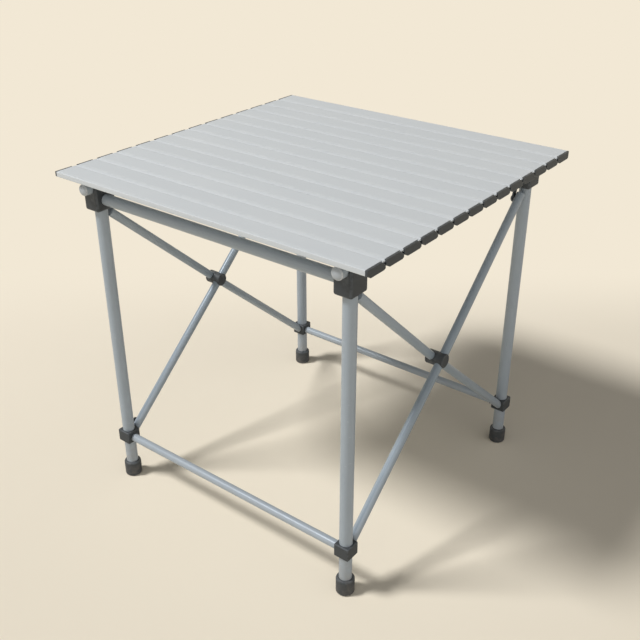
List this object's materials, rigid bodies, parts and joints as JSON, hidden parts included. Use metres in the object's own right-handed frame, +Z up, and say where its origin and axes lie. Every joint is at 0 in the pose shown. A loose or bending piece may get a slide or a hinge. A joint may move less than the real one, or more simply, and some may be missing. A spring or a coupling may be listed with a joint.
{
  "type": "roll top camp table",
  "caption": "Square folding camp table: a roll-up top of hinged metal slats on two rails, over a tube frame with crossed side braces, corner blocks and rubber-capped feet.",
  "frame": {"origin": "on the floor, under the middle of the top", "axes": "+X along the slats to the right, +Y from front to rear, +Z up"},
  "size_m": [0.7, 0.6878, 0.692],
  "materials": {
    "slat_aluminium": "satin anodised",
    "frame_tube": "satin anodised",
    "charcoal_plastic": "moulded, finely grained",
    "plug_plastic": "moulded",
    "rivet_steel": "plain"
  },
  "bodies": {
    "front_frame": {"leg_front_left": "frame_tube", "leg_front_right": "frame_tube", "block_front_left": "charcoal_plastic", "block_front_right": "charcoal_plastic", "collar_front_left": "charcoal_plastic", "collar_front_right": "charcoal_plastic", "feet_front": "charcoal_plastic", "crossbar_front": "frame_tube", "stretcher_front": "frame_tube"},
    "front_braces": {"brace_front_left": "frame_tube", "brace_front_right": "frame_tube", "hubs_front": "charcoal_plastic", "hub_rivets": "rivet_steel", "pins_front": "rivet_steel"},
    "rear_braces": {"brace_rear_left": "frame_tube", "brace_rear_right": "frame_tube", "hubs_rear": "charcoal_plastic", "pins_rear": "rivet_steel"},
    "rear_frame": {"leg_rear_left": "frame_tube", "leg_rear_right": "frame_tube", "block_rear_left": "charcoal_plastic", "block_rear_right": "charcoal_plastic", "collar_rear_left": "charcoal_plastic", "collar_rear_right": "charcoal_plastic", "feet_rear": "charcoal_plastic", "crossbar_rear": "frame_tube", "stretcher_rear": "frame_tube"},
    "rails": {"rail_left": "frame_tube", "rail_right": "frame_tube", "rail_plugs": "plug_plastic"},
    "top_base": {"slat_14": "slat_aluminium", "caps_14": "charcoal_plastic", "rail_clips": "charcoal_plastic"},
    "row_13": {"slat_13": "slat_aluminium", "caps_13": "charcoal_plastic"},
    "row_12": {"slat_12": "slat_aluminium", "caps_12": "charcoal_plastic"},
    "row_11": {"slat_11": "slat_aluminium", "caps_11": "charcoal_plastic"},
    "row_10": {"slat_10": "slat_aluminium", "caps_10": "charcoal_plastic"},
    "row_09": {"slat_09": "slat_aluminium", "caps_09": "charcoal_plastic"},
    "row_08": {"slat_08": "slat_aluminium", "caps_08": "charcoal_plastic"},
    "row_07": {"slat_07": "slat_aluminium", "caps_07": "charcoal_plastic"},
    "row_06": {"slat_06": "slat_aluminium", "caps_06": "charcoal_plastic"},
    "row_05": {"slat_05": "slat_aluminium", "caps_05": "charcoal_plastic"},
    "row_04": {"slat_04": "slat_aluminium", "caps_04": "charcoal_plastic"},
    "row_03": {"slat_03": "slat_aluminium", "caps_03": "charcoal_plastic"},
    "row_02": {"slat_02": "slat_aluminium", "caps_02": "charcoal_plastic"},
    "row_01": {"slat_01": "slat_aluminium", "caps_01": "charcoal_plastic"}
  },
  "joints": [
    {"name": "fold", "type": "hinge", "parent": "front_frame", "child": "front_braces", "pos_m": [0, -0.27, 0.5998], "axis": [-1, 0, 0], "range_deg": [0, 43]},
    {"name": "hub_turn", "type": "hinge", "parent": "front_braces", "child": "rear_braces", "pos_m": [0, 0, 0.3584], "axis": [1, 0, 0], "range_deg": [0, 86.01]},
    {"name": "rear_turn", "type": "hinge", "parent": "rear_braces", "child": "rear_frame", "pos_m": [0, 0.27, 0.5998], "axis": [-1, 0, 0], "range_deg": [0, 43.01]},
    {"name": "rails_lift", "type": "slide", "parent": "front_frame", "child": "rails", "axis": [0, 0, 1], "range_m": [0, 0.15]},
    {"name": "top_lift", "type": "slide", "parent": "rails", "child": "top_base", "axis": [0, 0, 1], "range_m": [0, 0.15]},
    {"name": "roll_13", "type": "hinge", "parent": "top_base", "child": "row_13", "pos_m": [0, 0.2891, 0.6896], "axis": [-1, 0, 0], "range_deg": [0, 30]},
    {"name": "roll_12", "type": "hinge", "parent": "row_13", "child": "row_12", "pos_m": [0, 0.2399, 0.6896], "axis": [-1, 0, 0], "range_deg": [0, 31.3]},
    {"name": "roll_11", "type": "hinge", "parent": "row_12", "child": "row_11", "pos_m": [0, 0.1907, 0.6896], "axis": [-1, 0, 0], "range_deg": [0, 32.67]},
    {"name": "roll_10", "type": "hinge", "parent": "row_11", "child": "row_10", "pos_m": [0, 0.1415, 0.6896], "axis": [-1, 0, 0], "range_deg": [0, 34.09]},
    {"name": "roll_09", "type": "hinge", "parent": "row_10", "child": "row_09", "pos_m": [0, 0.0923, 0.6896], "axis": [-1, 0, 0], "range_deg": [0, 35.57]},
    {"name": "roll_08", "type": "hinge", "parent": "row_09", "child": "row_08", "pos_m": [0, 0.0431, 0.6896], "axis": [-1, 0, 0], "range_deg": [0, 37.12]},
    {"name": "roll_07", "type": "hinge", "parent": "row_08", "child": "row_07", "pos_m": [0, -0.0061, 0.6896], "axis": [-1, 0, 0], "range_deg": [0, 38.73]},
    {"name": "roll_06", "type": "hinge", "parent": "row_07", "child": "row_06", "pos_m": [0, -0.0553, 0.6896], "axis": [-1, 0, 0], "range_deg": [0, 40.41]},
    {"name": "roll_05", "type": "hinge", "parent": "row_06", "child": "row_05", "pos_m": [0, -0.1045, 0.6896], "axis": [-1, 0, 0], "range_deg": [0, 42.17]},
    {"name": "roll_04", "type": "hinge", "parent": "row_05", "child": "row_04", "pos_m": [0, -0.1537, 0.6896], "axis": [-1, 0, 0], "range_deg": [0, 44.01]},
    {"name": "roll_03", "type": "hinge", "parent": "row_04", "child": "row_03", "pos_m": [0, -0.2029, 0.6896], "axis": [-1, 0, 0], "range_deg": [0, 45.92]},
    {"name": "roll_02", "type": "hinge", "parent": "row_03", "child": "row_02", "pos_m": [0, -0.2521, 0.6896], "axis": [-1, 0, 0], "range_deg": [0, 47.92]},
    {"name": "roll_01", "type": "hinge", "parent": "row_02", "child": "row_01", "pos_m": [0, -0.3013, 0.6896], "axis": [-1, 0, 0], "range_deg": [0, 50]}
  ],
  "couplings": [
    {"joint": "hub_turn", "follows": "fold", "ratio": 2},
    {"joint": "rear_turn", "follows": "fold", "ratio": 1}
  ]
}
